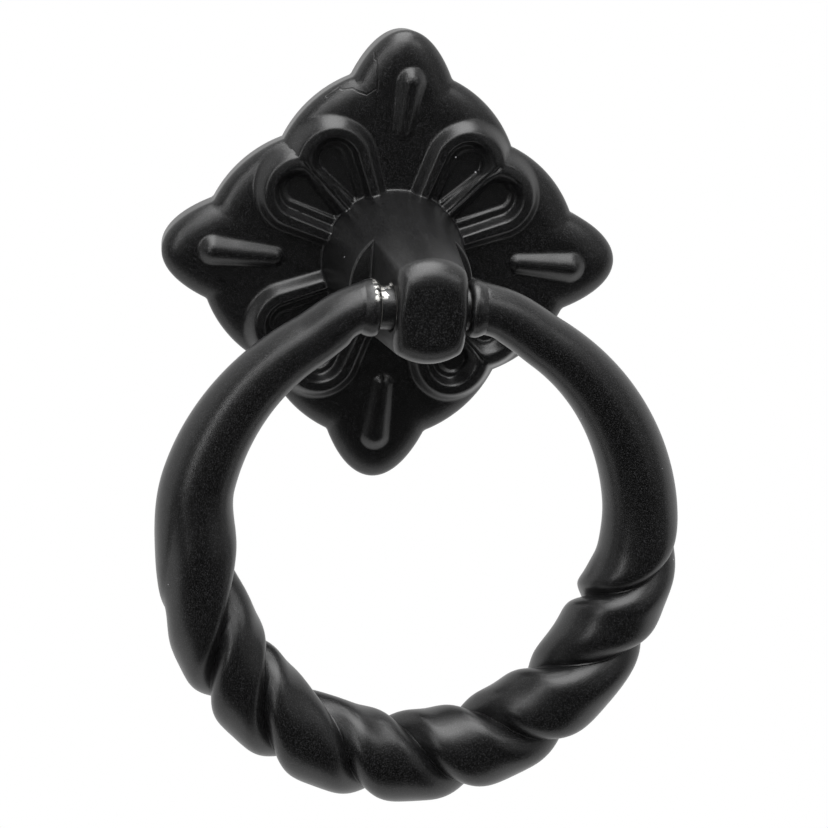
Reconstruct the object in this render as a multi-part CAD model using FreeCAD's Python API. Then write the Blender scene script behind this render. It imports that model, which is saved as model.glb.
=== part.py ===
"""Ring pull handle: a scalloped rosette with a bored post, and a twisted ring that swings in the bore.

Millimetres. +Z is up and the front faces -Y. The origin is the centre of the rosette's back,
at the mouth of the tapped hole, so the back lies in the plane Y = 0.
"""
import FreeCAD, Part
import math
import os

Vector = FreeCAD.Vector

# Rosette outline: an oval lobe and a wide round lobe on the axis of each corner,
# all turned a little about the post
tip_radius = 27.2
corner_lobe_half_length = 24.0
corner_lobe_half_width = 9.05
side_lobe_reach = 22.65
side_lobe_radius = 14.85
rosette_turn = -1.0

# Rosette height: a rim bevelled towards the back, a pillow edge and a level field
rim_height = 3.0
rim_bevel = 0.4
field_height = 5.0
pillow_width = 3.2

# Raised rib on each corner lobe
rib_inner_place = 14.4
rib_outer_place = 21.4
rib_inner_width = 2.4
rib_outer_width = 3.9
rib_inner_height = 0.7
rib_outer_height = 1.2

# Raised horseshoe on each side lobe, and the hollow spoon inside it
petal_outer_angle = 19.5
petal_inner_angle = 42.0
petal_top_place = 17.4
petal_arch_width = 3.4
petal_foot_width = 2.2
petal_height = 1.3
petal_foot_lap = 0.9
spoon_inner_width = 1.2
spoon_outer_width = 2.4
spoon_depth = 0.8

# Post: a cone with flat cheeks that ends in the knuckle
post_foot_radius = 8.4
post_end_radius = 6.0
post_length = 30.4
post_end_round = 3.0
cheek_start = 16.8
cheek_start_width = 9.6
cheek_end_width = 8.1

# Hidden back: a cored pocket round a boss with a tapped hole
back_wall = 2.8
pocket_depth = 2.4
boss_radius = 6.5
tap_drill_radius = 1.65
tap_depth = 14.0

# Pivot: pegs on the ring turn in a bore through the knuckle
pivot_inset = 3.9
peg_radius = 2.5
peg_clearance = 0.09
peg_length = 4.0
end_gap_left = 1.5
end_gap_right = 0.4

# Ring: an oval centre line with a bar that thickens from its ends to its sides
ring_half_width = 26.55
ring_drop = 54.2
ring_offset = 0.4
arm_lift_angle = 148.0
bar_end_radius = 3.0
bar_side_radius = 4.4
collar_radius = 3.4
collar_length = 2.0
collar_chamfer = 0.4
neck_length = 1.6

# Twist: two strands in the ring's lower half
strand_along = 3.47
strand_across = 4.5
strand_offset = 1.95
rope_inset = 0.6
half_turn_angle = 22.6
twist_lean = 0.07
twist_phase = 0.9
twist_lag = 0.15
twist_lag_angle = 62.0
twist_lag_reach = 17.0
twist_slow_left = 58.0
twist_stop_left = 94.0
twist_slow_right = 86.0
twist_stop_right = 96.0
twist_inner_end_left = 104.0
twist_outer_end_left = 90.0
twist_inner_end_right = 88.0
twist_outer_end_right = 100.0
twist_fade_angle = 20.0

# Fineness of the rounded forms, which are drawn as flat facets between sections
corner_lobe_sides = 48
side_lobe_sides = 64
pillow_steps = 3
post_end_steps = 3
ridge_steps = 5
ridge_end_steps = 3
arch_steps = 8
strand_steps = 10
sections_per_half_turn = 8
arm_sections = 11
ridge_root = 0.6
sewing_gap = 0.001

bore_radius = peg_radius + peg_clearance
pivot_height = post_length - pivot_inset
cheek_taper = (cheek_start_width - cheek_end_width) / (post_length - cheek_start)
knuckle_width = cheek_start_width - cheek_taper * (pivot_height - cheek_start)
left_end = -knuckle_width / 2 - end_gap_left
right_end = knuckle_width / 2 + end_gap_right
ends_middle = (left_end + right_end) / 2
ring_end = (right_end - left_end) / 2
petal_axis_angle = (petal_inner_angle + petal_outer_angle) / 2
petal_half_angle = math.radians((petal_inner_angle - petal_outer_angle) / 2)
arch_place = petal_top_place / (1 + math.sin(petal_half_angle))

CENTRE = Vector(0, 0, 0)
FRONT = Vector(0, -1, 0)
RIGHT = Vector(1, 0, 0)


def ease(share):
    """A smooth step from 0 to 1."""
    held = min(max(share, 0.0), 1.0)
    return held * held * (3 - 2 * held)


def blend(start, end, share):
    return start + (end - start) * share


def on_rosette(distance, angle, height):
    """A point at a distance from the rosette's centre, an angle from +X and a height above its back."""
    turn = math.radians(angle)
    return Vector(distance * math.cos(turn), -height, distance * math.sin(turn))


def turned(shape, angle):
    """A copy turned about the post's axis, from +X towards +Z."""
    copy = shape.copy()
    copy.rotate(CENTRE, FRONT, angle)
    return copy


def fourfold(shape):
    return [turned(shape, 90 * quarter) for quarter in range(4)]


def eightfold(shape):
    """A side-lobe feature and its mirror image across the diagonal, round all four sides."""
    return fourfold(shape) + fourfold(shape.mirror(CENTRE, on_rosette(1, 135, 0)))


def fused(shapes):
    return shapes[0].multiFuse(shapes[1:])


def polygon_wire(points):
    return Part.makePolygon(points + points[:1])


def revolved(profile, base, axis, angle=360):
    return Part.Face(polygon_wire(profile)).revolve(base, axis, angle)


def rounded_corner(outer, upper, steps):
    """Points that round a corner in the plane of X and height, from its outer side to its upper side."""
    points = []
    for step in range(steps + 1):
        turn = math.pi / 2 * step / steps
        points.append(Vector(upper.x + (outer.x - upper.x) * math.cos(turn),
                             outer.y + (upper.y - outer.y) * math.sin(turn), 0))
    return points


def faceted_solid(sections):
    """A solid bounded by flat triangles between one section and the next, and closed at both ends."""
    count = len(sections[0])
    points = [point for section in sections for point in section]
    triangles = []
    for row in range(len(sections) - 1):
        for place in range(count):
            near = row * count + place
            near_next = row * count + (place + 1) % count
            far = near + count
            far_next = near_next + count
            if points[near].distanceToPoint(points[far_next]) < points[near_next].distanceToPoint(points[far]):
                triangles += [(near, near_next, far_next), (near, far_next, far)]
            else:
                triangles += [(near, near_next, far), (near_next, far_next, far)]
    last = len(points) - count
    for place in range(1, count - 1):
        triangles.append((0, place + 1, place))
        triangles.append((last, last + place, last + place + 1))
    net = Part.Shape()
    net.makeShapeFromMesh((points, triangles), sewing_gap)
    return Part.makeSolid(Part.Shell(net.Faces))


def oval_loop(half_length, half_width, inset, height, sides):
    turns = [2 * math.pi * side / sides for side in range(sides)]
    return [Vector((half_length - inset) * math.cos(turn), -height, (half_width - inset) * math.sin(turn))
            for turn in turns]


def lobe(half_length, half_width, sides):
    """An oval disc with a bevelled rim and a pillow edge that runs up to the level field."""
    edge = rounded_corner(Vector(0, rim_height, 0), Vector(pillow_width, field_height, 0), pillow_steps)
    levels = [Vector(rim_bevel, 0, 0)] + edge
    loops = [oval_loop(half_length, half_width, level.x, level.y, sides) for level in levels]
    return faceted_solid(loops).removeSplitter()


def pocket_lobe(half_length, half_width, sides):
    """A lobe of the cored back, inside the wall that it leaves."""
    loops = [oval_loop(half_length, half_width, back_wall, height, sides) for height in (0, pocket_depth)]
    return faceted_solid(loops).removeSplitter()


def lobes(made):
    """The corner lobes and the side lobes, each set in its place."""
    corner = made(corner_lobe_half_length, corner_lobe_half_width, corner_lobe_sides)
    corner.translate(on_rosette(tip_radius - corner_lobe_half_length, 0, 0))
    side = made(side_lobe_radius, side_lobe_radius, side_lobe_sides)
    side.translate(on_rosette(side_lobe_reach - side_lobe_radius, 0, 0))
    return fourfold(corner) + fourfold(side)


def ridge_section(foot, across, width, height):
    """A closed section of a rounded ridge that stands on the field and is rooted below it."""
    radius = (width * width / 4 + height * height) / (2 * height)
    reach = math.acos((radius - height) / radius)
    turns = [blend(-reach, reach, step / ridge_steps) for step in range(ridge_steps + 1)]
    arc = [(radius * math.sin(turn), height - radius + radius * math.cos(turn)) for turn in turns]
    pairs = [(-width / 2, -ridge_root)] + arc + [(width / 2, -ridge_root)]
    return [foot + across * side + FRONT * lift for side, lift in pairs]


def round_ended_ridge(inner_place, outer_place, inner_size, outer_size):
    """A straight ridge along +X whose width and height change from its inner to its outer round end."""
    across = Vector(0, 0, 1)
    stations = []
    for middle, size, way in ((inner_place, inner_size, -1), (outer_place, outer_size, 1)):
        for step in range(ridge_end_steps):
            turn = math.pi / 2 * step / ridge_end_steps
            place = middle + way * size[0] / 2 * math.sin(turn)
            share = math.cos(turn)
            stations.append((place, size[0] * share, size[1] * share))
    sections = [ridge_section(on_rosette(place, 0, field_height), across, width, height)
                for place, width, height in sorted(stations)]
    return faceted_solid(sections).removeSplitter()


def horseshoe():
    """A ridge bent to a horseshoe: two legs that run to the post and an arch that joins them."""
    leg_end = arch_place * math.cos(petal_half_angle)
    arch_radius = arch_place * math.sin(petal_half_angle)
    middle = on_rosette(arch_place, petal_axis_angle, field_height)
    arch = []
    for step in range(arch_steps + 1):
        turn = blend(petal_outer_angle - 90, petal_inner_angle + 90, step / arch_steps)
        outward = on_rosette(1, turn, 0)
        arch.append(ridge_section(middle + outward * arch_radius, -outward, petal_arch_width, petal_height))
    pieces = [faceted_solid(arch)]
    for angle in (petal_outer_angle, petal_inner_angle):
        across = on_rosette(1, angle + 90, 0)
        foot = on_rosette(post_foot_radius - petal_foot_lap, angle, field_height)
        end = on_rosette(leg_end, angle, field_height)
        pieces.append(faceted_solid([ridge_section(foot, across, petal_foot_width, petal_height),
                                     ridge_section(end, across, petal_arch_width, petal_height)]))
    return fused(pieces)


def spoon():
    """The hollow inside a horseshoe: a round-ended ridge turned over, to be cut from the field."""
    ridge = round_ended_ridge(post_foot_radius, arch_place, (spoon_inner_width, spoon_depth),
                              (spoon_outer_width, spoon_depth))
    return turned(ridge.mirror(FRONT * field_height, FRONT), petal_axis_angle)


def post():
    """The cone with its rounded end, cut by two drafted cheeks down to a level ledge."""
    slope = (post_foot_radius - post_end_radius) / (post_length - field_height)
    edge = Vector(post_end_radius + slope * post_end_round, post_end_round - post_length, 0)
    face_edge = Vector(edge.x - post_end_round, -post_length, 0)
    root_height = (pocket_depth + field_height) / 2
    profile = [FRONT * root_height, Vector(post_foot_radius, -root_height, 0),
               Vector(post_foot_radius, -field_height, 0)]
    profile += rounded_corner(edge, face_edge, post_end_steps)
    profile.append(FRONT * post_length)
    body = revolved(profile, CENTRE, FRONT)
    beyond = 2 * post_length
    beyond_width = cheek_start_width - cheek_taper * (beyond - cheek_start)
    cheek = [
        Vector(cheek_start_width / 2, -cheek_start, -beyond),
        Vector(beyond, -cheek_start, -beyond),
        Vector(beyond, -beyond, -beyond),
        Vector(beyond_width / 2, -beyond, -beyond),
    ]
    cut = Part.Face(polygon_wire(cheek)).extrude(Vector(0, 0, 2 * beyond))
    return body.cut([cut, cut.mirror(CENTRE, RIGHT)])


def back_pocket():
    """The cored space behind the field, round the boss."""
    boss = Part.makeCylinder(boss_radius, pocket_depth, CENTRE, FRONT)
    return fused(lobes(pocket_lobe)).removeSplitter().cut(boss)


def tapped_hole():
    """The blind hole up the post, at its tapping size."""
    return Part.makeCylinder(tap_drill_radius, tap_depth, CENTRE, FRONT)


def pivot_bore():
    length = 2 * post_foot_radius
    return Part.makeCylinder(bore_radius, length, Vector(-length / 2, -pivot_height, 0), RIGHT)


def backplate():
    rib = round_ended_ridge(rib_inner_place, rib_outer_place, (rib_inner_width, rib_inner_height),
                            (rib_outer_width, rib_outer_height))
    plate = fused(lobes(lobe)).removeSplitter()
    plate = plate.multiFuse(fourfold(rib)).fuse(fused(eightfold(horseshoe())))
    plate = plate.cut([back_pocket()] + eightfold(spoon()))
    casting = turned(plate, rosette_turn).fuse(post())
    return casting.cut([pivot_bore(), tapped_hole()]).removeSplitter()


def end_angle(side):
    """The angle from straight down at which the centre line runs into the collar on one side of the ring."""
    reach = collar_length + ring_end + side * (ends_middle - ring_offset)
    return 180 - math.degrees(math.asin(reach / ring_half_width))


def ring_middle(angle):
    """The oval centre line at an angle from straight down; its arms lift to meet the pivot axis."""
    turn = math.radians(angle)
    last = end_angle(math.copysign(1, angle))
    lift = max((abs(angle) - arm_lift_angle) / (last - arm_lift_angle), 0) ** 2
    drop = ring_drop / 2 * (1 + math.cos(turn))
    return Vector(ring_offset + ring_half_width * math.sin(turn), -pivot_height, drop * (lift - 1))


def twist_turn(angle):
    """How far the strands have turned, in half turns; the twist lags on the right and stops at each end."""
    slow, stop = (twist_slow_left, twist_stop_left) if angle < 0 else (twist_slow_right, twist_stop_right)
    span = stop - slow
    past = min(max(abs(angle) - slow, 0), span) / span
    held = min(abs(angle), slow) + span * (past - past * past / 2)
    held = math.copysign(held, angle)
    lag = twist_lag * (1 - ease(abs(angle - twist_lag_angle) / twist_lag_reach))
    return (held - twist_phase) / half_turn_angle * (1 - twist_lean * held / 90) - lag


def twist_shares(angle):
    """How far the bar is two strands on the ring's inner and its outer side, from 0 to 1."""
    if angle < 0:
        ends = twist_inner_end_left, twist_outer_end_left
    else:
        ends = twist_inner_end_right, twist_outer_end_right
    return [ease((end - abs(angle)) / twist_fade_angle) for end in ends]


def section_place(side, share, half_along, half_across, offset):
    """A point of one strand's outline: along the line of both strands, and along the line of the grooves."""
    reach = math.acos(-offset / half_along)
    place = blend(-reach, reach, share)
    return side * (offset + half_along * math.cos(place)), side * half_across * math.sin(place)


def ring_section(angle):
    """The bar's section at an angle from straight down: two strands that fade to a plain round bar."""
    middle = ring_middle(angle)
    along = (ring_middle(angle + 0.01) - ring_middle(angle - 0.01)).normalize()
    outward = along.cross(FRONT)
    arm_share = (abs(angle) - 90) / (end_angle(math.copysign(1, angle)) - 90)
    bar_radius = blend(bar_side_radius, bar_end_radius, ease(arm_share))
    inner_share, outer_share = twist_shares(angle)
    inset = rope_inset * math.sin(math.radians(angle)) ** 2 * (inner_share + outer_share) / 2
    roll = -math.pi * twist_turn(angle)
    strand_axis = outward * math.cos(roll) + FRONT * math.sin(roll)
    groove_axis = FRONT * math.cos(roll) - outward * math.sin(roll)
    points = []
    for side in (1, -1):
        for step in range(strand_steps):
            share = step / strand_steps
            lift, spread = section_place(side, share, bar_radius, bar_radius, 0)
            strand_lift, strand_spread = section_place(side, share, strand_along, strand_across,
                                                       strand_offset)
            facing = (lift * math.cos(roll) - spread * math.sin(roll)) / bar_radius
            twisted = blend(inner_share, outer_share, (1 + facing) / 2)
            lift = blend(lift, strand_lift, twisted)
            spread = blend(spread, strand_spread, twisted)
            points.append(middle - outward * inset + strand_axis * lift + groove_axis * spread)
    return points


def ring_angles():
    """Where the sections stand: close together along the twist, wider along the plain arms."""
    first = max(twist_inner_end_left, twist_outer_end_left)
    last = max(twist_inner_end_right, twist_outer_end_right)
    span = first + last
    twist_count = math.ceil(span / half_turn_angle * sections_per_half_turn)
    twist = [span * index / twist_count - first for index in range(twist_count + 1)]
    shares = [(index + 1) / arm_sections for index in range(arm_sections)]
    left = [-blend(first, end_angle(-1), share) for share in reversed(shares)]
    right = [blend(last, end_angle(1), share) for share in shares]
    return left + twist + right


def ring_end_piece():
    """The collar, its neck and the peg at the ring's +X end, about the pivot axis."""
    collar_end = ring_end + collar_length
    profile = [
        Vector(ring_end - peg_length, 0, 0),
        Vector(ring_end - peg_length, peg_radius, 0),
        Vector(ring_end, peg_radius, 0),
        Vector(ring_end, collar_radius - collar_chamfer, 0),
        Vector(ring_end + collar_chamfer, collar_radius, 0),
        Vector(collar_end, bar_end_radius, 0),
        Vector(collar_end + neck_length, 0, 0),
    ]
    return revolved(profile, CENTRE, RIGHT)


def ring():
    bar = faceted_solid([ring_section(angle) for angle in ring_angles()])
    end = ring_end_piece()
    ends = [end, end.mirror(CENTRE, RIGHT)]
    for piece in ends:
        piece.translate(Vector(ends_middle, -pivot_height, 0))
    return bar.multiFuse(ends)


os.makedirs("parts", exist_ok=True)
backplate().exportStep("parts/backplate.step")
ring().exportStep("parts/ring.step")
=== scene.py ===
import math

import bmesh
import bpy
from mathutils import Matrix, Vector


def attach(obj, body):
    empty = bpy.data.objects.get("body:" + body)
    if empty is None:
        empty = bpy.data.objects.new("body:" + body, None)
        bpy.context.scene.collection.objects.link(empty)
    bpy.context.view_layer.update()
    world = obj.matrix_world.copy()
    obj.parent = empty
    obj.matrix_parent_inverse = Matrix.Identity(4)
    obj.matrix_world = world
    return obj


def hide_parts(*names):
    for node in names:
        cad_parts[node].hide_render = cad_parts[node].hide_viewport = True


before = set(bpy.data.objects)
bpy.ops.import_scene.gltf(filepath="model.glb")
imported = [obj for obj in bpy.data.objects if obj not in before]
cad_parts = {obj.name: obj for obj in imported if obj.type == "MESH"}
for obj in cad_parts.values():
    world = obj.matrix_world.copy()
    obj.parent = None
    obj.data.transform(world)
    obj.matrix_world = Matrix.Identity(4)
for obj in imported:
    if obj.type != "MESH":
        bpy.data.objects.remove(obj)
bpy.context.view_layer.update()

MM = 0.001
FRONT = Vector((0, -1, 0))
PIVOT_WAY = Vector((-1, 0, 0))
MERGE_DISTANCE = 0.0005

# Rosette outline and heights, in millimetres
tip_radius = 27.2
corner_lobe_half_length = 24.0
corner_lobe_half_width = 9.05
side_lobe_reach = 22.65
side_lobe_radius = 14.85
rosette_turn = -1.0
rim_height = 2.7
rim_bevel = 0.4
field_height = 5.0
pillow_width = 4.4

# Carving on the rosette
rib_inner_places = [15.2, 15.8, 14.2, 15.2]
rib_leans = [2.5, 5.7, 4.3, 4.0]
rib_outer_place = 21.5
rib_inner_width = 1.3
rib_outer_width = 1.85
rib_inner_height = 0.75
rib_outer_height = 1.2
rib_roundness = 1.25
petal_axis_angle = 34.7
petal_arch_place = 14.3
petal_arch_radius = 3.65
petal_crest = 0.38
petal_outer_flank = 1.5
petal_inner_flank = 0.95
petal_diagonal_flank = 1.9
petal_flank_blend = 4.0
petal_foot_share = 0.65
petal_height = 1.35
spoon_start = 9.0
spoon_end = 14.4
spoon_inner_width = 0.0
spoon_outer_width = 1.4
spoon_flank = 0.45
spoon_depth = 0.35
crease_half_width = 0.3
crease_depth = 0.45
crease_end = 15.6
crease_fade = 1.8
lobe_softness = 0.12
lobe_edge_slack = 0.001

# Post and knuckle
post_foot_radius = 8.4
post_end_radius = 6.0
post_length = 30.4
post_end_round = 3.0
cheek_end_round = 1.0
cheek_round_power = 4
end_flat = 3.05
end_flat_share = 0.25
end_squareness = 3
cheek_start = 16.8
cheek_start_width = 9.6
cheek_end_width = 8.1
ledge_softness = 0.3
knuckle_softness = 1.2
ledge_fillet = 0.5
ledge_round = 0.35
ledge_least_width = 0.06
ledge_blend_width = 0.3
foot_fillet = 0.35

# Hidden back
back_wall = 2.8
pocket_depth = 2.4
boss_radius = 6.5
tap_drill_radius = 1.65
thread_radius = 1.95
thread_pitch = 0.7
thread_start = 0.7
thread_turns = 17
thread_root_half = 0.294
thread_crest_half = 0.06
thread_sunk = 0.05
tap_depth = 14.0
tap_mouth_chamfer = 0.4

# Pivot
pivot_inset = 3.9
peg_radius = 2.5
peg_round = 0.3
bore_radius = 2.59
bore_mouth_chamfer = 0.3
bore_cutter_half = 8.0
peg_length = 4.0
end_gap_left = 1.5
end_gap_right = 0.4

# Ring
ring_half_width = 26.55
ring_drop = 54.2
ring_offset = 0.4
arm_lift_angle = 148.0
bar_end_radius = 3.0
bar_side_radius = 4.4
collar_face_radius = 2.95
collar_radius = 3.38
collar_length = 2.0
collar_face_step = 0.15
collar_edge = 0.05
collar_swell_lean = 0.7
arm_turn_angle = 9.0
strand_along = 3.40
strand_across = 4.45
strand_offset = 1.95
seam_height = 0.2
rope_inset = 1.0
half_turn_angle = 22.6
twist_lean = 0.07
twist_phase = 4.9
twist_inner_shift_left = -4.5
twist_inner_shift_right = 5.0
twist_inner_shift_start = -42.0
twist_inner_shift_span = 28.0
twist_lag = 0.15
twist_lag_angle = 62.0
twist_lag_reach = 17.0
twist_slow_left = 58.0
twist_stop_left = 94.0
twist_slow_right = 86.0
twist_stop_right = 96.0
twist_inner_end_left = 104.0
twist_outer_end_left = 80.0
twist_inner_end_right = 88.0
twist_outer_end_right = 100.0
twist_fade_angle = 20.0

pivot_height = post_length - pivot_inset
cheek_taper = (cheek_start_width - cheek_end_width) / (post_length - cheek_start)
knuckle_width = cheek_start_width - cheek_taper * (pivot_height - cheek_start)
left_end = -knuckle_width / 2 - end_gap_left
right_end = knuckle_width / 2 + end_gap_right
ends_middle = (left_end + right_end) / 2
ring_end = (right_end - left_end) / 2
petal_half_angle = math.asin(petal_arch_radius / petal_arch_place)


def ease(share):
    """A smooth step from 0 to 1."""
    held = min(max(share, 0.0), 1.0)
    return held * held * (3 - 2 * held)


def blend(start, end, share):
    return start + (end - start) * share


def soft_max(first, second, softness):
    """The larger of two heights, with a fillet where they meet."""
    overlap = max(softness - abs(first - second), 0.0) / softness
    return max(first, second) + overlap * overlap * softness / 4


def soft_min(first, second, softness):
    return -soft_max(-first, -second, softness)


def wrapped_net(columns, rows, place):
    """A net of squares wrapped round and closed; place gives the point of a row and a column."""
    bm = bmesh.new()
    bmesh.ops.create_grid(bm, x_segments=columns, y_segments=rows - 1, size=0.5)
    for vert in bm.verts:
        column = round((vert.co.x + 0.5) * columns) % columns
        row = round((vert.co.y + 0.5) * (rows - 1))
        vert.co = place(row, column)
    bmesh.ops.remove_doubles(bm, verts=bm.verts[:], dist=MERGE_DISTANCE)
    bmesh.ops.recalc_face_normals(bm, faces=bm.faces[:])
    return bm


# Carving of the rosette

def from_corner(angle):
    """The nearest corner to an angle round the rosette, and the angle from its axis, in degrees."""
    corner = math.floor((angle - rosette_turn + 45) / 90)
    return corner % 4, angle - rosette_turn - 90 * corner


def lobes_near(inset):
    """Middle, half length and half width of each lobe near one corner, drawn in by an inset."""
    corner = tip_radius - corner_lobe_half_length
    side = side_lobe_reach - side_lobe_radius
    return [
        (Vector((corner, 0)), corner_lobe_half_length - inset, corner_lobe_half_width - inset),
        (Vector((side, 0)), side_lobe_radius - inset, side_lobe_radius - inset),
        (Vector((0, side)), side_lobe_radius - inset, side_lobe_radius - inset),
    ]


LOBES = lobes_near(0)


def outline(angle, inset):
    """How far the scalloped edge is from the centre, at an angle from a corner's axis."""
    turn = math.radians(abs(angle))
    ray = Vector((math.cos(turn), math.sin(turn)))
    furthest = 0.0
    for middle, half_length, half_width in lobes_near(inset):
        way = Vector((ray.x / half_length, ray.y / half_width))
        start = Vector((-middle.x / half_length, -middle.y / half_width))
        mixed = way.dot(start)
        inside = mixed * mixed - way.length_squared * (start.length_squared - 1)
        if inside > 0:
            furthest = max(furthest, (math.sqrt(inside) - mixed) / way.length_squared)
    return furthest


def depth_in_lobe(point, lobe):
    """How deep a point lies inside a lobe's edge."""
    middle, half_length, half_width = lobe
    away = point - middle
    share = math.hypot(away.x / half_length, away.y / half_width)
    if share < 0.01:
        return half_width
    steepness = math.hypot(away.x / half_length ** 2, away.y / half_width ** 2) / share
    return (1 - share) / steepness


def pillow(depth):
    """Height of a lobe at a depth inside its edge."""
    share = min(max(depth / pillow_width, 0.0), 1.0)
    return blend(rim_height, field_height, math.sqrt(1 - (1 - share) ** 2))


def ridge(distance, crest, flank):
    """1 on a ridge's crest, easing to 0 at the foot of its flank."""
    return 1 - ease((distance - crest) / flank)


def along_run(x, y, start, end):
    """Share along a straight run from start to end on the local X axis, and the distance from it."""
    share = min(max((x - start) / (end - start), 0.0), 1.0)
    return share, math.hypot(x - blend(start, end, share), y)


def rib(corner, x, y):
    """The rounded rib on a corner's axis, made by hand: each has its own length and leans a little."""
    inner_place = rib_inner_places[corner]
    lean = math.radians(rib_leans[corner])
    outward = (x - inner_place) * math.cos(lean) - y * math.sin(lean)
    across = (x - inner_place) * math.sin(lean) + y * math.cos(lean)
    share, distance = along_run(outward, across, 0, rib_outer_place - inner_place)
    part = min(distance / blend(rib_inner_width, rib_outer_width, share), 1.0)
    return blend(rib_inner_height, rib_outer_height, share) * (1 - part * part) ** rib_roundness


def horseshoe(x, y):
    """Ridge and hollow of a petal, with x along the petal's own axis."""
    leg_end = petal_arch_place * math.cos(petal_half_angle)
    across = abs(y)
    leg_along = x * math.cos(petal_half_angle) + across * math.sin(petal_half_angle)
    if leg_along < leg_end:
        outside = across * math.cos(petal_half_angle) - x * math.sin(petal_half_angle)
        size = blend(petal_foot_share, 1.0, leg_along / leg_end)
    else:
        outside = math.hypot(x - petal_arch_place, y) - petal_arch_radius
        size = 1.0
    flank = petal_outer_flank
    if outside < 0:
        flank = blend(petal_inner_flank, petal_diagonal_flank, ease(0.5 + y / petal_flank_blend))
    raised = petal_height * ridge(abs(outside), petal_crest * size, flank * size)
    share, inside = along_run(x, y, spoon_start, spoon_end)
    width = blend(spoon_inner_width, spoon_outer_width, share)
    return raised - spoon_depth * ridge(inside, width, spoon_flank)


def crease(x, y):
    """The groove between two petals, with x along the diagonal."""
    depth = crease_depth * (1 - ease((x - crease_end) / crease_fade))
    return -depth * max(1 - abs(y) / crease_half_width, 0.0)


def relief(distance, corner, angle):
    """Height of the rosette's front at a distance from its centre and an angle from a corner's axis."""
    turn = math.radians(angle)
    point = Vector((distance * math.cos(turn), abs(distance * math.sin(turn))))
    height = 0.0
    for lobe in LOBES:
        depth = depth_in_lobe(point, lobe)
        if depth > -lobe_edge_slack:
            height = soft_max(height, pillow(depth), lobe_softness)
    petal_turn = math.radians(abs(angle) - petal_axis_angle)
    petal = horseshoe(distance * math.cos(petal_turn), distance * math.sin(petal_turn))
    crease_turn = math.radians(abs(angle) - 45)
    groove = crease(distance * math.cos(crease_turn), distance * math.sin(crease_turn))
    return height + rib(corner, point.x, distance * math.sin(turn)) + petal + groove


# Form of the post

def post_radius(height):
    slope = (post_foot_radius - post_end_radius) / (post_length - field_height)
    return post_foot_radius - slope * (height - field_height)


def post_reach(height, angle):
    """Distance of the post's side from its axis above the ledge: a cone, flattened by the cheeks."""
    reach = post_radius(height)
    half_width = (cheek_start_width - cheek_taper * (height - cheek_start)) / 2
    sideways = abs(math.cos(math.radians(angle)))
    if sideways < 0.01:
        return reach
    raised = (height - cheek_start) / (post_length - cheek_start)
    return soft_min(reach, half_width / sideways, blend(ledge_softness, knuckle_softness, raised))


def straight_end(angle):
    """The height where the post's side turns into its rounded end; the cheeks have a smaller round."""
    sideways = abs(math.cos(math.radians(angle)))
    return post_length - blend(post_end_round, cheek_end_round, sideways ** cheek_round_power)


def end_place(share, angle):
    """A point on the rounded end of the post: from its middle, over the round, to its side."""
    turn = math.radians(angle)
    squared = abs(math.cos(turn)) ** end_squareness + abs(math.sin(turn)) ** end_squareness
    flat = end_flat / squared ** (1 / end_squareness)
    if share < end_flat_share:
        return flat * share / end_flat_share, post_length
    straight = straight_end(angle)
    side = post_reach(straight, angle)
    over = math.pi / 2 * (share - end_flat_share) / (1 - end_flat_share)
    return blend(flat, side, math.sin(over)), blend(straight, post_length, math.cos(over))


def ledge_place(share, angle):
    """A point on the ledge under a cheek: a fillet at the cheek, a flat, and a rounded outer edge."""
    cheek = post_reach(cheek_start + ledge_fillet, angle)
    width = post_radius(cheek_start) - cheek
    even_height = blend(cheek_start + ledge_fillet, cheek_start - ledge_round, share)
    even = Vector((post_radius(even_height), even_height))
    fillet = min(ledge_fillet, width / 2)
    edge = min(ledge_round, width / 2)
    if share < 0.5:
        turn = math.pi * share
        distance = cheek + fillet * (1 - math.cos(turn))
        height = cheek_start + fillet * (1 - math.sin(turn))
    else:
        turn = math.pi * (share - 0.5)
        distance = cheek + width - edge * (1 - math.sin(turn))
        height = cheek_start - edge * (1 - math.cos(turn))
    stepped = Vector((distance, height))
    return even.lerp(stepped, ease((width - ledge_least_width) / ledge_blend_width))


def foot_place(share, angle):
    """A point on the fillet between the post's foot and the relief that it stands in."""
    turn = math.pi / 2 * share
    distance = post_foot_radius + foot_fillet * (1 - math.cos(turn))
    return distance, relief(distance, *from_corner(angle)) + foot_fillet * (1 - math.sin(turn))


# The backplate casting: a net from the tip of the post, over the front, to the bottom of the tapped hole

def front_shares():
    """Rows over the relief, closer together where the pillow edge falls steeply."""
    field_rows = 100
    edge_rows = 10
    edge_share = 0.045
    field = [(1 - edge_share) * step / field_rows for step in range(1, field_rows + 1)]
    edge = [1 - edge_share * (1 - step / edge_rows) ** 2 for step in range(1, edge_rows + 1)]
    return field + edge


def backplate_stations():
    """The rows of the net: the stretch that each lies on, and its share along that stretch."""
    stations = [("end", step / 16) for step in range(17)]
    stations += [("cheek", step / 10) for step in range(1, 10)]
    stations += [("ledge", step / 9) for step in range(10)]
    stations += [("cone", step / 8) for step in range(1, 8)]
    stations += [("foot", step / 5) for step in range(6)]
    stations += [("front", share) for share in front_shares()]
    stations += [("rim", step / 4) for step in range(1, 5)]
    stations += [("pocket wall", 0.0), ("pocket wall", 1.0)]
    stations += [("pocket floor", step / 3) for step in range(1, 4)]
    stations += [("boss", 1.0), ("mouth", 0.0), ("mouth", 1.0)]
    stations += [("hole", 0.5), ("hole", 1.0), ("hole end", 0.0)]
    return stations


STATIONS = backplate_stations()
BACKPLATE_COLUMNS = 480


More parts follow.
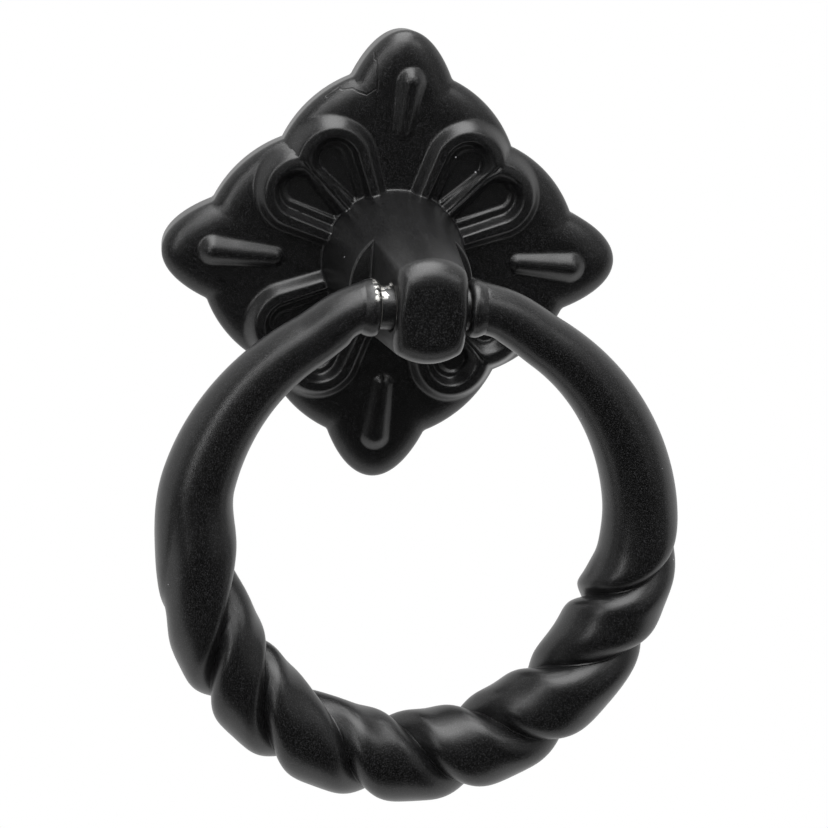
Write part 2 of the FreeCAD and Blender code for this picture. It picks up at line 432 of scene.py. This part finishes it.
def backplate_profile(kind, share, angle):
    """Distance from the axis and height of a point of the casting, at an angle round it from +X."""
    corner, corner_angle = from_corner(angle)
    if kind == "end":
        return end_place(share, angle)
    if kind == "cheek":
        height = blend(straight_end(angle), cheek_start + ledge_fillet, share)
        return post_reach(height, angle), height
    if kind == "ledge":
        return ledge_place(share, angle)
    if kind == "cone":
        height = blend(cheek_start - ledge_round, foot_place(0, angle)[1], share)
        return post_radius(height), height
    if kind == "foot":
        return foot_place(share, angle)
    if kind == "front":
        distance = blend(post_foot_radius + foot_fillet, outline(corner_angle, 0), share)
        return distance, relief(distance, corner, corner_angle)
    if kind == "rim":
        return outline(corner_angle, 0) - rim_bevel * share, rim_height * (1 - share)
    if kind == "pocket wall":
        return outline(corner_angle, back_wall), pocket_depth * share
    if kind == "pocket floor":
        return blend(outline(corner_angle, back_wall), boss_radius, share), pocket_depth
    if kind == "boss":
        return boss_radius, 0.0
    if kind == "mouth":
        return thread_radius + tap_mouth_chamfer * (1 - share), tap_mouth_chamfer * share
    if kind == "hole":
        return thread_radius, blend(tap_mouth_chamfer, tap_depth, share)
    return 0.0, tap_depth


def backplate_place(row, column):
    kind, share = STATIONS[row]
    angle = rosette_turn + 360 * column / BACKPLATE_COLUMNS
    distance, height = backplate_profile(kind, share, angle)
    turn = math.radians(angle)
    return Vector((distance * math.cos(turn), -height, distance * math.sin(turn)))


def backplate_mesh():
    return wrapped_net(BACKPLATE_COLUMNS, len(STATIONS), backplate_place)


def bore_cutter():
    """The bore's bar-shaped core, a little wider at both mouths."""
    mouth = knuckle_width / 2
    wide = bore_radius + bore_mouth_chamfer
    half = [(mouth - bore_mouth_chamfer, bore_radius), (mouth, wide)]
    half += [(bore_cutter_half, wide), (bore_cutter_half, 0)]
    profile = [(-along, radius) for along, radius in reversed(half)] + half
    bm = bmesh.new()
    points = [bm.verts.new((along, -pivot_height, radius)) for along, radius in profile]
    edges = [bm.edges.new(pair) for pair in zip(points, points[1:])]
    bmesh.ops.spin(bm, geom=points + edges, cent=(0, -pivot_height, 0), axis=(1, 0, 0),
                   angle=2 * math.pi, steps=96, use_merge=True)
    bmesh.ops.remove_doubles(bm, verts=bm.verts[:], dist=MERGE_DISTANCE)
    bmesh.ops.recalc_face_normals(bm, faces=bm.faces[:])
    return bm


def thread_mesh():
    """The ridge of the tapped thread, wound up the hole."""
    root_radius = thread_radius + thread_sunk
    section = [(root_radius, -thread_root_half), (tap_drill_radius, -thread_crest_half),
               (tap_drill_radius, thread_crest_half), (root_radius, thread_root_half)]
    bm = bmesh.new()
    points = [bm.verts.new((radius, -thread_start - along, 0)) for radius, along in section]
    ridge_face = bm.faces.new(points)
    turn_steps = 32
    bmesh.ops.spin(bm, geom=[ridge_face], cent=(0, 0, 0), axis=(0, -1, 0),
                   dvec=(0, -thread_pitch / turn_steps, 0), angle=2 * math.pi * thread_turns,
                   steps=turn_steps * thread_turns, use_merge=False)
    bmesh.ops.recalc_face_normals(bm, faces=bm.faces[:])
    return bm


# The ring casting: a net from the tip of the left peg, round the ring, to the tip of the right peg

def end_angle(side):
    """The angle from straight down at which the centre line runs into one side's collar."""
    reach = collar_length + ring_end + side * (ends_middle - ring_offset)
    return 180 - math.degrees(math.asin(reach / ring_half_width))


def ring_middle(angle):
    """The oval centre line at an angle from straight down; its arms lift to meet the pivot axis."""
    turn = math.radians(angle)
    last = end_angle(math.copysign(1, angle))
    lift = max((abs(angle) - arm_lift_angle) / (last - arm_lift_angle), 0) ** 2
    drop = ring_drop / 2 * (1 + math.cos(turn))
    return Vector((ring_offset + ring_half_width * math.sin(turn), -pivot_height, drop * (lift - 1)))


def ring_direction(angle):
    """The way the bar runs; it turns into the pivot axis as it comes to a collar."""
    nudge = 0.05
    run = (ring_middle(angle + nudge) - ring_middle(angle - nudge)).normalized()
    past = ease((end_angle(math.copysign(1, angle)) - abs(angle)) / arm_turn_angle)
    return (run * past + PIVOT_WAY * (1 - past)).normalized()


def twist_turn(angle):
    """How far the strands have turned, in half turns; they lag on the right and stop at each end."""
    if angle < 0:
        slow, stop = twist_slow_left, twist_stop_left
    else:
        slow, stop = twist_slow_right, twist_stop_right
    span = stop - slow
    past = min(max(abs(angle) - slow, 0), span) / span
    held = min(abs(angle), slow) + span * (past - past * past / 2)
    held = math.copysign(held, angle)
    lag = twist_lag * (1 - ease(abs(angle - twist_lag_angle) / twist_lag_reach))
    return (held - twist_phase) / half_turn_angle * (1 - twist_lean * held / 90) - lag


def inner_shift(angle):
    """How much further round the ring the strands lie on its inner side, in half turns."""
    from_left = ease((angle - twist_inner_shift_start) / twist_inner_shift_span)
    return blend(twist_inner_shift_left, twist_inner_shift_right, from_left) / half_turn_angle


def twist_shares(angle):
    """How far the bar is two strands on the ring's inner and its outer side, from 0 to 1."""
    if angle < 0:
        ends = twist_inner_end_left, twist_outer_end_left
    else:
        ends = twist_inner_end_right, twist_outer_end_right
    return [ease((end - abs(angle)) / twist_fade_angle) for end in ends]


def collar_profile():
    """Place along the pivot axis and radius, from the tip of a peg to the end of its collar."""
    tip = ring_end - peg_length
    profile = [(tip, 0.0)]
    for step in range(4):
        turn = math.pi / 2 * step / 3
        place = tip + peg_round * (1 - math.cos(turn))
        profile.append((place, peg_radius - peg_round * (1 - math.sin(turn))))
    profile += [(blend(tip + peg_round, ring_end, step / 5), peg_radius) for step in range(1, 6)]
    profile.append((ring_end, collar_face_radius - collar_face_step))
    for step in range(13):
        share = step / 12
        place = ring_end + blend(collar_edge, collar_length - collar_edge, share)
        swell = (collar_radius - bar_end_radius) * math.sin(math.pi * share ** collar_swell_lean)
        profile.append((place, blend(collar_face_radius, bar_end_radius, share) + swell))
    return profile


def ring_stations():
    """The sections from peg to peg: a turned end with its side, place and radius, or a bar's angle."""
    arm_steps = 60
    rope_steps = 250
    rope_angle = 105
    left = [("end", -1, place, radius) for place, radius in collar_profile()]
    for step in range(arm_steps):
        left.append(("bar", -blend(end_angle(-1), rope_angle, step / arm_steps)))
    rope = []
    for step in range(rope_steps + 1):
        rope.append(("bar", blend(-rope_angle, rope_angle, step / rope_steps)))
    right = []
    for step in range(1, arm_steps + 1):
        right.append(("bar", blend(rope_angle, end_angle(1), step / arm_steps)))
    right += [("end", 1, place, radius) for place, radius in reversed(collar_profile())]
    return left + rope + right


RING_STATIONS = ring_stations()
STRAND_POINTS = 44


def section_place(side, share, half_along, half_across, offset, seam):
    """A point of one strand's outline: along the line of both strands, and along that of the grooves."""
    reach = math.acos(-offset / half_along)
    place = blend(-reach, reach, blend(share, (1 - math.cos(math.pi * share)) / 2, 0.5))
    spread = half_across * math.sin(place)
    if share == 0:
        spread -= seam
    return side * (offset + half_along * math.cos(place)), side * spread


def section_axes(along, roll):
    """The directions of the line through both strands and of the line through the grooves."""
    outward = along.cross(FRONT)
    strand_axis = outward * math.cos(roll) + FRONT * math.sin(roll)
    groove_axis = FRONT * math.cos(roll) - outward * math.sin(roll)
    return strand_axis, groove_axis


def turned_end_place(side, place, radius, strand_side, share):
    """A point of a peg or a collar, both turned round the pivot axis."""
    roll = -math.pi * twist_turn(side * end_angle(side))
    strand_axis, groove_axis = section_axes(PIVOT_WAY, roll)
    turn = blend(-math.pi / 2, math.pi / 2, share)
    middle = Vector((ends_middle + side * place, -pivot_height, 0))
    return middle + (strand_axis * math.cos(turn) + groove_axis * math.sin(turn)) * radius * strand_side


def bar_place(angle, strand_side, share):
    """A point of the bar: round in the arms, and two strands where it is twisted."""
    along = ring_direction(angle)
    outward = along.cross(FRONT)
    arm_share = (abs(angle) - 90) / (end_angle(math.copysign(1, angle)) - 90)
    bar_radius = blend(bar_side_radius, bar_end_radius, ease(arm_share))
    inner_share, outer_share = twist_shares(angle)
    inset = rope_inset * math.sin(math.radians(angle)) ** 2 * (inner_share + outer_share) / 2
    roll = -math.pi * twist_turn(angle)
    strand_axis, groove_axis = section_axes(along, roll)
    lift, spread = section_place(strand_side, share, bar_radius, bar_radius, 0, 0)
    strand_lift, strand_spread = section_place(
        strand_side, share, strand_along, strand_across, strand_offset, seam_height)
    facing = (lift * math.cos(roll) - spread * math.sin(roll)) / bar_radius
    twisted = blend(inner_share, outer_share, (1 + facing) / 2)
    lift = blend(lift, strand_lift, twisted)
    spread = blend(spread, strand_spread, twisted)
    drawn = -math.pi * inner_shift(angle) * (1 - facing) / 2 * inner_share
    across = strand_axis * lift + groove_axis * spread
    return ring_middle(angle) - outward * inset + Matrix.Rotation(drawn, 3, along) @ across


def ring_place(row, column):
    station = RING_STATIONS[row]
    strand_side = 1 if column < STRAND_POINTS else -1
    share = (column % STRAND_POINTS) / STRAND_POINTS
    if station[0] == "end":
        return turned_end_place(station[1], station[2], station[3], strand_side, share)
    return bar_place(station[1], strand_side, share)


def ring_mesh():
    return wrapped_net(2 * STRAND_POINTS, len(RING_STATIONS), ring_place)


# Materials

BARE_ZINC = (0.62, 0.61, 0.58, 1)
CUT_ZINC = (0.5, 0.5, 0.49, 1)

# Points along each crack in the paint, across and up the rosette in millimetres
CRACKS = [
    [(-3.4, 24.6), (-3.06, 22.77), (-3.05, 20.3)],
    [(-8.8, 19.2), (-7.43, 20.19), (-5.89, 20.3), (-4.3, 19.77), (-3.39, 20.45)],
]


class Value:
    """A number, colour or vector on a surface. Arithmetic on numbers adds their Math nodes."""

    def __init__(self, nodes, socket):
        self.nodes = nodes
        self.socket = socket

    def output(self, name):
        """Another output of the same node."""
        return Value(self.nodes, self.socket.node.outputs[name])

    def math(self, operation, first, second=0.0):
        return self.nodes.node("ShaderNodeMath", {"operation": operation}, {0: first, 1: second})

    def __add__(self, other):
        return self.math("ADD", self, other)

    def __radd__(self, other):
        return self.math("ADD", other, self)

    def __sub__(self, other):
        return self.math("SUBTRACT", self, other)

    def __rsub__(self, other):
        return self.math("SUBTRACT", other, self)

    def __mul__(self, other):
        return self.math("MULTIPLY", self, other)

    def __rmul__(self, other):
        return self.math("MULTIPLY", other, self)

    def __truediv__(self, other):
        return self.math("DIVIDE", self, other)

    def __rtruediv__(self, other):
        return self.math("DIVIDE", other, self)

    def __pow__(self, other):
        return self.math("POWER", self, other)

    def over(self, other):
        """The larger of two values."""
        return self.math("MAXIMUM", self, other)

    def under(self, other):
        """The smaller of two values."""
        return self.math("MINIMUM", self, other)


class Nodes:
    """The nodes of one material or of the world."""

    def __init__(self, tree):
        self.tree = tree
        tree.nodes.clear()

    def node(self, kind, settings, inputs):
        """Adds a node, with its settings first and then its values and links. Gives its first output."""
        made = self.tree.nodes.new(kind)
        for name, value in settings.items():
            setattr(made, name, value)
        for name, value in inputs.items():
            if isinstance(value, Value):
                self.tree.links.new(value.socket, made.inputs[name])
            else:
                made.inputs[name].default_value = value
        return Value(self, made.outputs[0]) if made.outputs else None

    def noise(self, place, scale, detail):
        return self.node("ShaderNodeTexNoise", {}, {"Vector": place, "Scale": scale, "Detail": detail})

    def rise(self, value, low, high):
        """0 below low, 1 above high, with a smooth step between."""
        return self.node("ShaderNodeMapRange", {"interpolation_type": "SMOOTHSTEP"},
                         {"Value": value, "From Min": low, "From Max": high})


def length_of(first, second):
    return (first * first + second * second) ** 0.5


def distance_to_run(x, z, start, end):
    """Distance of a point from a straight run between two points, in the plane of the rosette."""
    run_x = end[0] - start[0]
    run_z = end[1] - start[1]
    run_length = run_x * run_x + run_z * run_z
    along = ((x - start[0]) * run_x + (z - start[1]) * run_z) / run_length
    held = along.over(0.0).under(1.0)
    return length_of(x - start[0] - held * run_x, z - start[1] - held * run_z)


def new_material(name):
    material = bpy.data.materials.new(name)
    material.use_nodes = True
    return material, Nodes(material.node_tree)


def object_place(nodes):
    return nodes.node("ShaderNodeTexCoord", {}, {}).output("Object")


def dust_specks(nodes, place):
    """A few pale specks: dots in the middle of some cells of a fine cell pattern."""
    cells = nodes.node("ShaderNodeTexVoronoi", {}, {"Vector": place, "Scale": 420.0})
    dots = 1 - nodes.rise(cells, 0.035, 0.05)
    cell_shade = nodes.node("ShaderNodeSeparateColor", {}, {0: cells.output("Color")})
    return dots * nodes.rise(cell_shade, 0.82, 0.83)


def satin_black_paint(name, bare, cracked):
    """Satin black paint on a zinc casting: fine grain, dust, bare metal where worn, and open cracks."""
    material, nodes = new_material(name)
    place = object_place(nodes)
    peel = nodes.noise(place, 1500.0, 2.0)
    grain = nodes.noise(place, 9000.0, 2.0)
    patches = nodes.noise(place, 220.0, 4.0)
    height = 0.6 * peel + 0.4 * grain
    tone = (0.0005 + 0.001 * patches + 0.12 * (grain - 0.5)).over(0.0003)
    roughness = 0.29 + 0.10 * patches + 0.08 * (grain - 0.5)
    tone = tone + 0.35 * dust_specks(nodes, place)
    if cracked:
        gap = crack_distance(nodes, place)
        tone = tone * nodes.rise(gap, 0.04 * MM, 0.09 * MM)
        height = height - 3.0 * (1 - nodes.rise(gap, 0.05 * MM, 0.14 * MM))
    worn = bare(nodes, place)
    paint = nodes.node("ShaderNodeCombineColor", {}, {0: tone, 1: tone, 2: tone * 1.05})
    mixed = nodes.node("ShaderNodeMix", {"data_type": "RGBA"}, {0: worn, 6: paint, 7: BARE_ZINC})
    colour = mixed.output(2)
    bump = nodes.node("ShaderNodeBump", {}, {"Strength": 0.35, "Distance": 0.05 * MM, "Height": height})
    shader = nodes.node("ShaderNodeBsdfPrincipled", {}, {
        "Base Color": colour,
        "Metallic": worn,
        "Roughness": roughness,
        "Normal": bump,
    })
    nodes.node("ShaderNodeOutputMaterial", {}, {"Surface": shader})
    return material


def crack_distance(nodes, place):
    """Distance from the two cracks in the paint beside the top lobe."""
    wander = nodes.noise(place, 1400.0, 3.0) - 0.5
    axes = nodes.node("ShaderNodeSeparateXYZ", {}, {0: place})
    x = axes + 0.5 * MM * wander
    z = axes.output("Z") + 0.4 * MM * wander
    distances = []
    for crack in CRACKS:
        points = [(across * MM, up * MM) for across, up in crack]
        distances += [distance_to_run(x, z, start, end) for start, end in zip(points, points[1:])]
    nearest = distances[0]
    for distance in distances[1:]:
        nearest = nearest.under(distance)
    return nearest


def bare_bore_mouth(nodes, place):
    """A thin ragged line of bare metal round the upper edge of the bore on the left cheek."""
    axes = nodes.node("ShaderNodeSeparateXYZ", {}, {0: place})
    up = axes.output("Z")
    reach = length_of(axes.output("Y") + pivot_height * MM, up)
    ragged = reach + 0.3 * MM * (nodes.noise(place, 2500.0, 3.0) - 0.5)
    line = nodes.rise(ragged, 2.6 * MM, 2.65 * MM) * (1 - nodes.rise(ragged, 2.8 * MM, 2.9 * MM))
    upper_edge = nodes.rise(up, -1.2 * MM, 0.4 * MM)
    left_cheek = 1 - nodes.rise(axes, -3.4 * MM, -3.0 * MM)
    return line * upper_edge * left_cheek


def bare_left_peg(nodes, place):
    """Bare metal where the left collar rubs: a ragged patch on the peg, a thin line on the collar."""
    axes = nodes.node("ShaderNodeSeparateXYZ", {}, {0: place})
    up = axes.output("Z")
    reach = length_of(axes.output("Y") + pivot_height * MM, up)
    from_face = axes - left_end * MM
    past_collar = nodes.rise(from_face, -1.1 * MM, -0.6 * MM)
    near_face = 1 - nodes.rise(from_face, 0.9 * MM, 1.3 * MM)
    on_top = nodes.rise(up, 1.4 * MM, 1.9 * MM)
    ragged = nodes.rise(nodes.noise(place, 1800.0, 4.0), 0.5, 0.54)
    patch = ragged * on_top * past_collar * near_face
    from_edge = length_of(from_face, reach - 2.9 * MM)
    line = (1 - nodes.rise(from_edge, 0.1 * MM, 0.2 * MM)) * nodes.rise(up, -2.2 * MM, -1.0 * MM)
    return patch.over(line)


def cut_metal(name):
    """Bare zinc as the tap leaves it."""
    material, nodes = new_material(name)
    streaks = nodes.noise(object_place(nodes), 2200.0, 3.0)
    shader = nodes.node("ShaderNodeBsdfPrincipled", {}, {
        "Base Color": CUT_ZINC,
        "Metallic": 1.0,
        "Roughness": 0.25 + 0.2 * streaks,
    })
    nodes.node("ShaderNodeOutputMaterial", {}, {"Surface": shader})
    return material


# Pieces

def piece_from(bm, name):
    """A mesh in millimetres made an object in metres."""
    bmesh.ops.scale(bm, vec=(MM, MM, MM), verts=bm.verts[:])
    mesh = bpy.data.meshes.new(name)
    bm.to_mesh(mesh)
    bm.free()
    piece = bpy.data.objects.new(name, mesh)
    bpy.context.scene.collection.objects.link(piece)
    return piece


def cut_away(piece, cutter):
    """Cuts one shape out of a piece for good."""
    cut = piece.modifiers.new("cut", "BOOLEAN")
    cut.operation = "DIFFERENCE"
    cut.solver = "EXACT"
    cut.object = cutter
    cleared = bpy.data.meshes.new_from_object(piece.evaluated_get(bpy.context.evaluated_depsgraph_get()))
    piece.modifiers.clear()
    piece.data = cleared
    bpy.data.objects.remove(cutter)


def finished(piece, body, material):
    """Smooth shading with sharp corners kept, the finish, and the body that the piece moves with."""
    sharp_angle = 42
    piece.data.shade_smooth()
    piece.data.set_sharp_from_angle(angle=math.radians(sharp_angle))
    piece.data.materials.clear()
    piece.data.materials.append(material)
    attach(piece, body)


def backplate_casting():
    piece = piece_from(backplate_mesh(), "backplate_casting")
    cut_away(piece, piece_from(bore_cutter(), "bore_cutter"))
    paint = satin_black_paint("backplate_paint", bare_bore_mouth, cracked=True)
    finished(piece, "backplate", paint)
    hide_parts("backplate")


def tapped_thread():
    piece = piece_from(thread_mesh(), "tapped_thread")
    finished(piece, "backplate", cut_metal("cut_metal"))


def ring_casting():
    piece = piece_from(ring_mesh(), "ring_casting")
    paint = satin_black_paint("ring_paint", bare_left_peg, cracked=False)
    finished(piece, "ring", paint)
    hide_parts("ring")


# Camera, floor and light

def camera():
    """The photograph's view: from the front, a little from the left and above, slightly rolled."""
    azimuth = math.radians(-11.94)
    elevation = math.radians(15.9)
    roll = math.radians(3.7)
    distance = 700 * MM
    pixels_per_metre = 8550
    picture_width = 828
    sensor_width = 36
    target = Vector((0, -15, -18)) * MM
    target_pixel = Vector((399, 430.5))
    forward = Vector((math.sin(-azimuth) * math.cos(elevation), math.cos(azimuth) * math.cos(elevation),
                      -math.sin(elevation)))
    level_right = Vector((math.cos(azimuth), math.sin(azimuth), 0))
    level_up = level_right.cross(forward)
    right = level_right * math.cos(roll) + level_up * math.sin(roll)
    up = level_up * math.cos(roll) - level_right * math.sin(roll)
    off_middle = (Vector((picture_width, picture_width)) / 2 - target_pixel) / pixels_per_metre
    middle = target + right * off_middle.x - up * off_middle.y
    data = bpy.data.cameras.new("camera")
    data.sensor_width = sensor_width
    data.lens = sensor_width * distance * pixels_per_metre / picture_width
    view = bpy.data.objects.new("camera", data)
    eye = middle - forward * distance
    turn = Matrix((right, up, -forward)).transposed()
    view.matrix_world = Matrix.Translation(eye) @ turn.to_4x4()
    bpy.context.scene.collection.objects.link(view)
    bpy.context.scene.camera = view


def light_path(nodes):
    """The kinds of ray; the first output is 1 for rays straight from the camera."""
    return nodes.node("ShaderNodeLightPath", {}, {})


def background_seen(rays):
    """1 for the rays that see the white background: from the camera, off a gloss or through glass."""
    return rays.over(rays.output("Is Glossy Ray")).over(rays.output("Is Transmission Ray"))


def floor():
    """A wide pale floor, in metres, below and behind the handle."""
    bm = bmesh.new()
    bmesh.ops.create_grid(bm, x_segments=1, y_segments=1, size=4)
    bmesh.ops.translate(bm, verts=bm.verts[:], vec=(0, 3.85, -0.3))
    mesh = bpy.data.meshes.new("floor")
    bm.to_mesh(mesh)
    bm.free()
    ground = bpy.data.objects.new("floor", mesh)
    bpy.context.scene.collection.objects.link(ground)
    material, nodes = new_material("floor")
    seen = background_seen(light_path(nodes))
    pale = nodes.node("ShaderNodeBsdfDiffuse", {}, {"Color": (0.8, 0.8, 0.8, 1)})
    white = nodes.node("ShaderNodeEmission", {}, {"Color": (1, 1, 1, 1), "Strength": 1.0})
    mixed = nodes.node("ShaderNodeMixShader", {}, {0: seen, 1: pale, 2: white})
    nodes.node("ShaderNodeOutputMaterial", {}, {"Surface": mixed})
    mesh.materials.append(material)


LAMP_DISTANCE = 0.7
LAMP_AIM = Vector((0, -0.02, -0.02))


def around(azimuth, elevation, distance):
    """A place round the handle, by its bearing from the front and its height angle."""
    bearing = math.radians(azimuth)
    rise = math.radians(elevation)
    return Vector((math.sin(bearing) * math.cos(rise), -math.cos(bearing) * math.cos(rise),
                   math.sin(rise))) * distance


def lamp(name, bearing, size, power):
    """A flat lamp that faces the handle, by its bearing and height angle, size in metres and watts."""
    place = around(*bearing, LAMP_DISTANCE)
    data = bpy.data.lights.new(name, "AREA")
    data.shape = "RECTANGLE"
    data.size = size[0]
    data.size_y = size[1]
    data.energy = power
    light = bpy.data.objects.new(name, data)
    light.location = place
    light.rotation_euler = (LAMP_AIM - place).to_track_quat("-Z", "Y").to_euler()
    bpy.context.scene.collection.objects.link(light)


def studio():
    """A white studio: even soft light, and in the gloss a dark front and a dimmer ceiling."""
    soft_light = 0.6
    front_dimming = 0.96
    ceiling_dimming = 0.5
    made = bpy.data.worlds.new("studio")
    made.use_nodes = True
    bpy.context.scene.world = made
    nodes = Nodes(made.node_tree)
    rays = light_path(nodes)
    seen = background_seen(rays)
    direction = nodes.node("ShaderNodeTexCoord", {}, {})
    axes = nodes.node("ShaderNodeSeparateXYZ", {}, {0: direction})
    front = nodes.rise(0.0 - axes.output("Y"), -0.1, 0.4) * (1 - rays)
    ceiling = nodes.rise(axes.output("Z"), 0.6, 0.95) * (1 - rays)
    mirrored = (1 - front_dimming * front) * (1 - ceiling_dimming * ceiling)
    strength = soft_light * (1 - seen) + mirrored * seen
    backdrop = nodes.node("ShaderNodeBackground", {}, {"Color": (1, 1, 1, 1), "Strength": strength})
    nodes.node("ShaderNodeOutputWorld", {}, {"Surface": backdrop})


backplate_casting()
tapped_thread()
ring_casting()
camera()
floor()
studio()
lamp("left strip", bearing=(-45, 20), size=(0.06, 0.6), power=1.1)
lamp("right panel", bearing=(48, 18), size=(0.5, 0.6), power=0.35)
lamp("upper left softbox", bearing=(-22, 38), size=(0.2, 0.2), power=0.5)
lamp("upper right softbox", bearing=(45, 42), size=(0.25, 0.2), power=0.5)
lamp("top softbox", bearing=(-8, 80), size=(0.55, 0.85), power=9.0)

bpy.context.scene.view_settings.view_transform = "Standard"
